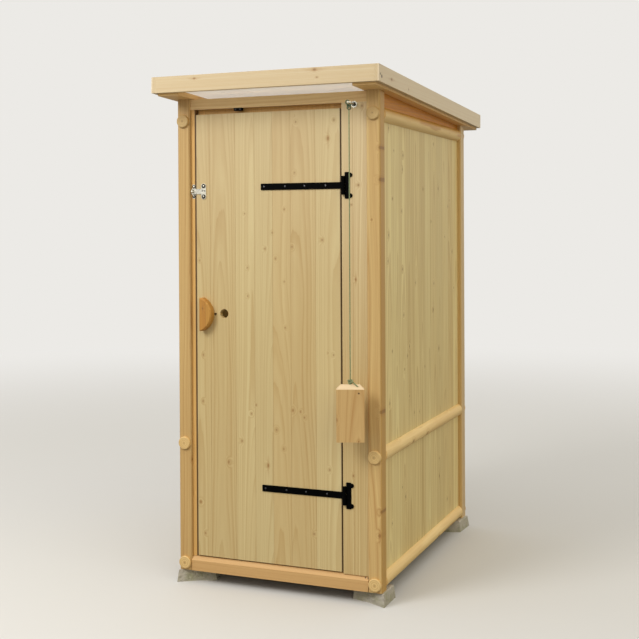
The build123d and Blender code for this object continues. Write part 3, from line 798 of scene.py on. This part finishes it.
class OUTHOUSE_OT_poles(bpy.types.Operator):
    """Finish the posts, the round rails and the sill"""

    bl_idname = "outhouse.poles"
    bl_label = "Posts and rails"

    def execute(self, context):
        for i, side in enumerate(("front_right", "front_left", "rear_right", "rear_left")):
            marks = POST_KNOTS if side == "front_right" else ()
            # Painted shade on the front posts' outer sides, painted light on the rear posts' outer sides
            dress(wood("post_" + side, "up front", "post", board=0.6, seed=2.7 + 1.9 * i, knots=0.4,
                       cracks=0.06, marks=marks, fades=POST_SIDE_LIGHT_AND_SHADE[side.split("_")[0]]), "post_" + side)
        for i, place in enumerate(("bottom", "middle", "top")):
            for side in ("right", "left"):
                node = f"rail_{place}_{side}"
                low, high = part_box(node)
                middle = (low + high) / 2
                marks = RAIL_KNOTS if node == "rail_middle_right" else ()
                fades = [("y", *(-low.y - np.array(TENON_FADE)).tolist(), TENON_SHADES[place], "tenon")]
                # Painted shade under the roof, darkening the top rails towards their top
                if place == "top":
                    start, end = (middle.z + np.array(TOP_RAIL_SHADOW_BAND)).tolist()
                    fades.insert(0, ("z", start, end, TOP_RAIL_PAINTED_SHADE, "painted_side_shade"))
                dress(wood(node, "back side", "rail", pith=(middle.z, middle.x), seed=1.7 * i, knots=0.45,
                           cracks=0.05, rings=0.9, fades=fades, marks=marks), node)
        dress(wood("rails_rear", "across front", "rail", board=0.5, face=0.6, seed=6.1, knots=0.5,
                   cracks=0.05), "rails_rear")
        dress(wood("sill", "across front", "sill", board=0.5, face=-0.65, seed=8.3, knots=0.4,
                   holes=SILL_HOLES), "sill")
        return {"FINISHED"}


class OUTHOUSE_OT_door(bpy.types.Operator):
    """Finish the door leaf, its ledges and its pull"""

    bl_idname = "outhouse.door"
    bl_label = "Door"

    def execute(self, context):
        low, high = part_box("door_leaf")
        # Painted shadow along both edges of the leaf, standing in for the dark gaps round the door
        left, right = DOOR_GAP_SHADOWS
        # Painted light: the door turns paler towards its top
        dress(wood("door_boards", "up front", "door", board=DOOR_JOINTS, face=-0.65, seed=9.4, knots=0.08,
                   contrast=0.9, marks=DOOR_KNOTS, holes=DOOR_HOLES, fades=DOOR_PAINTED_LIGHT, knot_depth=0.34,
                   edges=(("x", low.x, left), ("x", high.x, right))), "door_leaf")
        dress(wood("door_ledges", "across front", "door", board=0.4, face=-0.6, seed=1.4, knots=0.4),
              "door_ledges")
        dress(wood("door_pull", "up front", "pull", board=0.5, face=-0.68, seed=2.2, knots=0.2), "door_pull")
        return {"FINISHED"}


# Metal: height of its relief, the two tones of blackened steel, and the soft rim and colour of the dark
# painted on zinc: painted shade in holes and slots, and painted dark reflections round screws
METAL_RELIEF = 0.0002
STEEL_DARK = (0.05, 0.05, 0.055)
STEEL_PALE = (0.16, 0.16, 0.17)
PAINTED_DARK_RIM = 0.001
PAINTED_DARK_COLOUR = (0.006, 0.005, 0.003)


def black_paint():
    """Satin black paint with a slight orange peel."""
    s = Shader("black_iron")
    place = s.place()
    grain = s.noise(place, scale=900.0, detail=2.0)
    dull = s.noise(place, scale=60.0, detail=3.0)
    tint = s.mix((dull + 0.4).clamped(), hue("iron"), shaded("iron", 2.2))
    sockets = {"Base Color": tint, "Roughness": (dull * 0.3 + 0.42).clamped(), "Specular IOR Level": 0.035}
    return s.finish(sockets, grain, METAL_RELIEF)


def black_steel():
    """Blackened steel screws, glossier than the paint round them."""
    s = Shader("black_steel")
    dull = s.noise(s.place(), scale=400.0, detail=2.0)
    tint = s.mix((dull + 0.5).clamped(), STEEL_DARK, STEEL_PALE)
    rough = (dull * 0.3 + 0.3).clamped()
    return s.finish({"Base Color": tint, "Roughness": rough, "Metallic": 1.0}, dull, METAL_RELIEF)


def zinc_plate(painted_dark_spots=(), behind=-1.0):
    """Bright zinc with soft spangles, and each bore (x, z, inner, outer) painted dark between its radii where
    y is past behind: painted shade in holes and slots, and painted dark reflections round screws.
    """
    s = Shader("zinc")
    place = s.place()
    flakes = s.node("TexVoronoi", {"feature": "F1"}, {"Vector": place, "Scale": 420.0}, output="Color")
    tone = s.node("SeparateColor", sockets={0: flakes})
    dull = s.noise(place, scale=90.0, detail=3.0)
    tint = s.times(hue("zinc"), tone * 0.3 + dull * 0.5 + 0.8)
    x, y, z = s.axes()
    for middle_x, middle_z, inner, outer in painted_dark_spots:
        reach = span(x - middle_x, z - middle_z)
        painted_dark_mask = (1 - reach.step(outer - PAINTED_DARK_RIM, outer)) * (reach + PAINTED_DARK_RIM).step(inner, inner + PAINTED_DARK_RIM)
        tint = s.mix(painted_dark_mask * y.over(behind) * 0.93, tint, PAINTED_DARK_COLOUR)
    rough = (tone * 0.15 + dull * 0.2 + 0.28).clamped()
    return s.finish({"Base Color": tint, "Roughness": rough, "Metallic": 1.0}, dull, METAL_RELIEF)


class OUTHOUSE_OT_ironwork(bpy.types.Operator):
    """Finish the strap hinges and the catch, and add their screws"""

    bl_idname = "outhouse.ironwork"
    bl_label = "Ironwork"

    def execute(self, context):
        dims = sizes()
        paint, steel = black_paint(), black_steel()
        dress(paint, "hinge_strap_upper", "hinge_strap_lower", "hinge_plate_upper", "hinge_plate_lower",
              "door_catch")
        straps, plates = [], []
        for level in ("upper", "lower"):
            low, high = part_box("hinge_strap_" + level)
            middle, front = (low.z + high.z) / 2, low.y + dims.knuckle_ahead
            straps += [(x, front, middle) for x in STRAP_SCREW_X]
            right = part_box("hinge_plate_" + level)[1].x
            for inset, rise in ((EAR_SCREW_INSET, EAR_SCREW_RISE), (INNER_SCREW_INSET, INNER_SCREW_RISE)):
                plates += [(right - inset, front, middle + side * rise) for side in (-1, 1)]
        screw_heads("strap_screws", straps, dims.screw_radius, HINGE_SCREW_RISE, steel, "door",
                    turns=np.arange(len(straps)) * 0.7)
        screw_heads("plate_screws", plates, dims.screw_radius, HINGE_SCREW_RISE, paint, "cabin",
                    turns=np.arange(len(plates)) * 0.9)
        low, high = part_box("door_catch")
        middle = (low.z + high.z) / 2
        holes = [(low.x + share * (high.x - low.x), low.y, middle) for share in CATCH_SCREWS]
        screw_heads("catch_screws", holes, dims.small_screw_radius, CATCH_SCREW_RISE, black_steel(), "cabin")
        return {"FINISHED"}


class OUTHOUSE_OT_hasp(bpy.types.Operator):
    """Finish the zinc hasp, its staple and the cord's guide, and add the hasp's and the staple's screws"""

    bl_idname = "outhouse.hasp"
    bl_label = "Hasp and guide"

    def execute(self, context):
        dims = sizes()
        bright = zinc_plate()
        ring = dims.small_screw_radius
        low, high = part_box("hasp_arm")
        middle_x, middle_z = high.x - HASP_INSET, (low.z + high.z) / 2 + SLOT_RISE
        holes = [(middle_x, z) for z in (low.z + HASP_INSET, high.z - HASP_INSET)]
        # Painted shade in the two slots, and painted dark reflections round the hasp's screws
        slots = [(middle_x + side * SLOT_APART, middle_z, 0.0, SLOT_RADIUS) for side in (-1, 1)]
        dress(zinc_plate(slots + [(x, z, ring, HASP_DARK_REFLECTION_RING) for x, z in holes]), "hasp_arm")
        screw_heads("hasp_screws", [(x, low.y, z) for x, z in holes], ring, HASP_SCREW_RISE, bright, "door",
                    turns=(0.3, 1.0))
        low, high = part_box("hasp_staple")
        holes = [((low.x + high.x) / 2, z) for z in (low.z + STAPLE_INSET, high.z - STAPLE_INSET)]
        # Painted dark reflections round the staple's screws
        dress(zinc_plate([(x, z, ring, STAPLE_DARK_REFLECTION_RING * ring) for x, z in holes]), "hasp_staple")
        face = high.y - STAPLE_THICK
        screw_heads("staple_screws", [(x, face, z) for x, z in holes], ring, STAPLE_SCREW_RISE, bright,
                    "cabin", turns=(0.9, 0.1))
        low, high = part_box("cord_guide")
        # Painted shade: a dark disc on the flange, standing in for the shade in the bore
        bore = (low.x + GUIDE_BORE_INSET, (low.z + high.z) / 2, 0.0, GUIDE_BORE)
        dress(zinc_plate([bore], high.y - GUIDE_FLANGE), "cord_guide")
        return {"FINISHED"}


class OUTHOUSE_OT_roof(bpy.types.Operator):
    """Finish the rafters, fascias and milky roof sheet"""

    bl_idname = "outhouse.roof"
    bl_label = "Roof"

    def execute(self, context):
        dims = sizes()
        dress(wood("fascia_front", "across front", "roof", board=0.5, face=-0.79, seed=0.4, knots=0.2,
                   marks=FRONT_FASCIA_KNOTS), "fascia_front")
        dress(wood("fascia_rear", "across front", "roof", board=0.5, face=0.79, seed=3.4, knots=0.5),
              "fascia_rear")
        # Painted light: the side fascias' outer faces turn paler
        dress(wood("fascia_side", "back side", "roof", board=0.5, face=0.49, seed=6.2, knots=0.2,
                   contrast=1.2, marks=SIDE_FASCIA_KNOTS, holes=SIDE_FASCIA_HOLES, fades=SIDE_FASCIA_PAINTED_LIGHT),
              "fascia_right", "fascia_left")
        dress(wood("rafter", "back side", "rafter", board=0.5, face=0.47, seed=2.9, knots=0.4),
              "rafter_right", "rafter_left")
        s = Shader("roof_sheet")
        x, y, z = s.axes()
        phase = x / dims.sheet_rib
        rib = 1 - abs(phase.fraction() - 0.5).step(0.36, 0.46)
        haze = s.noise(s.vector(x * 3, y * 3, z), detail=3.0)
        tint = s.times(s.mix(rib * 0.25, hue("sheet"), shaded("sheet", 0.82)), haze * 0.12 + 1.0)
        rough = (haze * 0.2 + 0.3).clamped()
        dress(s.finish({"Base Color": tint, "Roughness": rough, "Specular IOR Level": 0.4}, rib, SHEET_RELIEF,
                       through=(SHEET_SHARE, SHEET_LIGHT)), "roof_sheet")
        return {"FINISHED"}


class OUTHOUSE_OT_weight(bpy.types.Operator):
    """Finish the counterweight and lay its green cord, with the knots at both ends"""

    bl_idname = "outhouse.weight"
    bl_label = "Counterweight and cord"

    def execute(self, context):
        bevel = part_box("weight_block")[1].z - BLOCK_BEVEL
        # Painted light: the bevel and the top turn paler
        fades = (("z", bevel - BEVEL_EDGE, bevel + BEVEL_EDGE, 0.5, "painted_light"),)
        dress(wood("weight", "up front", "weight", board=0.5, face=-0.75, seed=7.7, knots=0.2, contrast=1.2,
                   holes=WEIGHT_HOLES, fades=fades), "weight_block")
        s = Shader("green_cord")
        place = s.place()
        fleck = s.noise(place, scale=1500.0, detail=2.0, rough=0.7)
        worn = s.noise(place, scale=160.0, detail=2.0)
        tint = s.mix((fleck * 1.6 + worn * 0.8 + 0.35).clamped(), hue("cord"), hue("cord_light"))
        knot_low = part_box("cord_knot")[0].z
        start, end = (knot_low + np.array(CORD_SHADE_SPAN)).tolist()
        # Painted shade: deep green from the foot of the knot under the guide upwards
        tint = s.mix(s.axes()[2].step(start, end) * 0.75, tint, hue("cord_painted_shade"))
        green = s.finish({"Base Color": tint, "Roughness": 0.72, "Sheen Weight": 0.3}, fleck, CORD_RELIEF)
        low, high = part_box("weight_cord")
        x, y = (low.x + high.x) / 2, (low.y + high.y) / 2
        drop = np.tile([x, y, 0], (CORD_POINTS, 1))
        drop[:, 2] = np.linspace(high.z, low.z, CORD_POINTS)
        route = smooth_route(drop)
        line = add_cord("cord_line", route, green, "weight")
        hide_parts("weight_cord")
        travel = next(j for j in frame["joints"] if j["name"] == "weight_lift")["range_m"][1]
        shown = high.z - low.z
        (shown - travel) / shown
        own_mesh(line)
        low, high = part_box("cord_knot")
        centre = (low + high) / 2
        width, depth, height = (side - sizes().cord_diameter for side in high - low)
        stopper = add_cord("cord_stopper", overhand(centre, width, height, depth), green, "cabin")
        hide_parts("cord_knot")
        low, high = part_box("cord_guide")
        ring = np.array([x, y, (low.z + high.z) / 2])
        add_cord("cord_loop", smooth_route(ring + np.array(RING_LOOP)), green, "cabin")
        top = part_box("weight_block")[1].z
        add_cord("weight_knot", overhand((x, y, top + WEIGHT_KNOT_RISE), *WEIGHT_KNOT), green, "weight")
        turn = sizes().weight_turn
        right, ahead = (math.cos(turn), math.sin(turn), 0), (math.sin(turn), -math.cos(turn), 0)
        tail = np.array([x, y, top]) + np.array(WEIGHT_TAIL) @ np.array([right, ahead, (0, 0, 1)])
        add_cord("weight_knot_tail", smooth_route(tail), green, "weight")
        return {"FINISHED"}


class OUTHOUSE_OT_feet(bpy.types.Operator):
    """Finish the four foot stones"""

    bl_idname = "outhouse.feet"
    bl_label = "Foot stones"

    def execute(self, context):
        s = Shader("foot_stone")
        place = s.place()
        z = s.axes()[2]
        coarse = s.noise(place, scale=28.0, detail=6.0, rough=0.6)
        fine = s.noise(place, scale=260.0, detail=4.0, rough=0.7)
        chips = s.node("TexVoronoi", {"feature": "F1"}, {"Vector": place, "Scale": 70.0})
        moss = (coarse * 2.4 + 0.35 - z * 4.0).clamped()
        tint = s.mix(moss, hue("stone"), hue("moss"))
        tint = s.times(tint, fine * 0.7 + coarse * 0.5 + 1.0)
        dress(s.finish({"Base Color": tint, "Roughness": (fine * 0.3 + 0.85).clamped()},
                       coarse * 2.0 + fine * 0.5 + chips * 0.8, STONE_RELIEF), "foot_stones")
        return {"FINISHED"}


# Stage

# The photograph's camera: metres, radians (yaw, pitch, roll), millimetres and a share of the picture's width
CAMERA_PLACE = (1.88445, -4.81846, 1.50403)
CAMERA_TURN = (0.38574, 0.00740, -0.00503)
CAMERA_LENS = 62.993
CAMERA_SENSOR = 36.0
CAMERA_SHIFT = -0.13365
CAMERA_REACH = 200.0

# Lamps: places and sizes in metres, the suns' widths in degrees, and the ways from the object to the suns
KEY_PLACE = (-2.3, -4.3, 4.3)
KEY_AIM = (0.0, -0.6, 1.3)
KEY_SIZE = 2.6
KEY_COLOUR = (1.0, 1.0, 1.0)
FILL_WIDTH = 70
FILL_BACK = (0.85, -0.45, 0.40)
FILL_COLOUR = (1.0, 0.90, 0.56)
TOP_WIDTH = 100
TOP_BACK = (-0.1, -0.25, 1.0)
TOP_COLOUR = (1.0, 1.0, 1.0)
SUN_PLACE = (0, 0, 4)
SKY_COLOUR = (1.0, 0.98, 0.94)

# The floor turns into the backdrop between these distances, and sends back less light than its looks suggest
FLOOR_FADE = (2.5, 9.0)
FLOOR_SEEN = 0.80
FLOOR_BOUNCE = 0.32
BACKDROP_BOUNCE = 0.3


def put(thing, place, side, up, back):
    """Puts a lamp or a camera at this place, with its own axes along these three directions."""
    holder = add_object(thing.name, thing)
    turned = Matrix(np.column_stack([side, up, back]).tolist()).to_4x4()
    turned.translation = place
    holder.matrix_world = turned
    return holder


def place_lamp(name, kind, strength, tint, place, back):
    """Adds a lamp at this place, with its light going against this direction."""
    lamp = bpy.data.lights.new(name, kind)
    lamp.energy = strength
    lamp.color = tint
    back = np.array(back) / np.linalg.norm(back)
    side = np.cross([0, 1, 0] if abs(back[2]) > 0.9 else [0, 0, 1], back)
    side /= np.linalg.norm(side)
    put(lamp, place, side, np.cross(back, side), back)
    return lamp


def lay_floor():
    """A flat pale disc, with points at share times radius times the cosine and sine of each angle."""
    radii = np.linspace(0, 1, 3)
    turns = np.linspace(0, 2 * np.pi, 96, endpoint=False)
    share, angle = np.meshgrid(radii, turns, indexing="ij")
    disc = np.stack([share * np.cos(angle), share * np.sin(angle), 0 * angle], axis=-1) * sizes().stage_radius
    mesh = bpy.data.meshes.new("stage_floor")
    number = np.arange(disc.shape[0] * disc.shape[1]).reshape(disc.shape[:2])
    turn = np.roll(number, -1, axis=1)
    quads = np.stack([number[:-1], number[1:], turn[1:], turn[:-1]], axis=-1).reshape(-1, 4)
    mesh.from_pydata(disc.reshape(-1, 3).tolist(), [], quads.tolist())
    floor = add_object("stage_floor", mesh)
    s = Shader("stage_floor")
    seen = s.node("LightPath", output="Is Camera Ray")
    tint = s.mix(seen, shaded("ground", FLOOR_BOUNCE), shaded("ground", FLOOR_SEEN))
    x, y = s.axes()[:2]
    away = span(x, y).step(*FLOOR_FADE)
    near = s.node("BsdfPrincipled", sockets={"Base Color": tint, "Roughness": 0.9, "Specular IOR Level": 0.1})
    glow = s.mix(seen, shaded("ground", BACKDROP_BOUNCE), hue("ground"))
    far = s.node("Emission", sockets={"Color": glow})
    surface = s.node("MixShader", sockets={0: away, 1: near, 2: far})
    s.node("OutputMaterial", sockets={"Surface": surface}, output=None)
    mesh.materials.append(s.holder)


def spread_sky():
    """Even light from all round, which is seen as the pale backdrop."""
    world = bpy.data.worlds.new("even_sky")
    bpy.context.scene.world = world
    s = Shader("even_sky", world)
    straight = s.node("LightPath", output="Is Camera Ray")
    seen = straight.at_least(s.other(straight, "Is Glossy Ray"))
    seen = seen.at_least(s.other(straight, "Is Transmission Ray"))
    even = s.node("Background", sockets={"Color": SKY_COLOUR, "Strength": sizes().sky_strength})
    backdrop = s.node("Background", sockets={"Color": hue("ground"), "Strength": 1.0})
    surface = s.node("MixShader", sockets={0: seen, 1: even, 2: backdrop})
    s.node("OutputWorld", sockets={"Surface": surface}, output=None)


def hang_lamps():
    """Two suns as wide as a cloudy sky, and a soft disc at the front left."""
    dims = sizes()
    fill = place_lamp("fill", "SUN", dims.fill_strength, FILL_COLOUR, SUN_PLACE, FILL_BACK)
    fill.angle = math.radians(FILL_WIDTH)
    top = place_lamp("top", "SUN", dims.top_strength, TOP_COLOUR, SUN_PLACE, TOP_BACK)
    top.angle = math.radians(TOP_WIDTH)
    key = place_lamp("key", "AREA", dims.key_strength, KEY_COLOUR, KEY_PLACE, np.subtract(KEY_PLACE, KEY_AIM))
    key.shape = "DISK"
    key.size = KEY_SIZE


def set_camera():
    """The photograph's camera: yaw about the upright axis, then pitch, then roll about its line of sight."""
    yaw, pitch, roll = CAMERA_TURN
    flat = math.cos(pitch)
    forward = np.array([-math.sin(yaw) * flat, math.cos(yaw) * flat, -math.sin(pitch)])
    level = np.array([math.cos(yaw), math.sin(yaw), 0])
    upright = np.cross(level, forward)
    right = math.cos(roll) * level + math.sin(roll) * upright
    up = -math.sin(roll) * level + math.cos(roll) * upright
    lens = bpy.data.cameras.new("camera")
    lens.lens = CAMERA_LENS
    lens.sensor_width = CAMERA_SENSOR
    lens.shift_y = CAMERA_SHIFT
    lens.clip_end = CAMERA_REACH
    bpy.context.scene.camera = put(lens, CAMERA_PLACE, right, up, -forward)


class OUTHOUSE_OT_stage(bpy.types.Operator):
    """Pale floor, even sky, three soft lamps and the camera"""

    bl_idname = "outhouse.stage"
    bl_label = "Stage"

    def execute(self, context):
        lay_floor()
        spread_sky()
        hang_lamps()
        set_camera()
        context.scene.view_settings.view_transform = "Standard"
        return {"FINISHED"}


class OUTHOUSE_PT_panel(bpy.types.Panel):
    """Lists the outhouse's operators and settings."""

    bl_idname = "OUTHOUSE_PT_panel"
    bl_label = "Outhouse"
    bl_space_type = "VIEW_3D"
    bl_region_type = "UI"
    bl_category = "Outhouse"

    def draw(self, context):
        for operator in OPERATORS:
            self.layout.operator(operator.bl_idname)
        for group in (context.scene.outhouse_sizes, context.scene.outhouse_colours):
            box = self.layout.box()
            for key in group.__annotations__:
                box.prop(group, key)


OPERATORS = (OUTHOUSE_OT_stage, OUTHOUSE_OT_boards, OUTHOUSE_OT_poles, OUTHOUSE_OT_door, OUTHOUSE_OT_ironwork,
             OUTHOUSE_OT_hasp, OUTHOUSE_OT_roof, OUTHOUSE_OT_weight, OUTHOUSE_OT_feet)
CLASSES = (OuthouseColours, OuthouseSizes, *OPERATORS, OUTHOUSE_PT_panel)


def register():
    """Makes the classes and the scene's settings known."""
    for item in CLASSES:
        bpy.utils.register_class(item)
    bpy.types.Scene.outhouse_colours = bpy.props.PointerProperty(type=OuthouseColours)
    bpy.types.Scene.outhouse_sizes = bpy.props.PointerProperty(type=OuthouseSizes)


def unregister():
    """Takes the classes and the settings away again."""
    del bpy.types.Scene.outhouse_sizes
    del bpy.types.Scene.outhouse_colours
    for item in reversed(CLASSES):
        bpy.utils.unregister_class(item)


def main():
    """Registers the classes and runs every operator."""
    register()
    for operator in OPERATORS:
        getattr(bpy.ops.outhouse, operator.bl_idname.split(".")[1])()


if __name__ == "__main__":
    main()
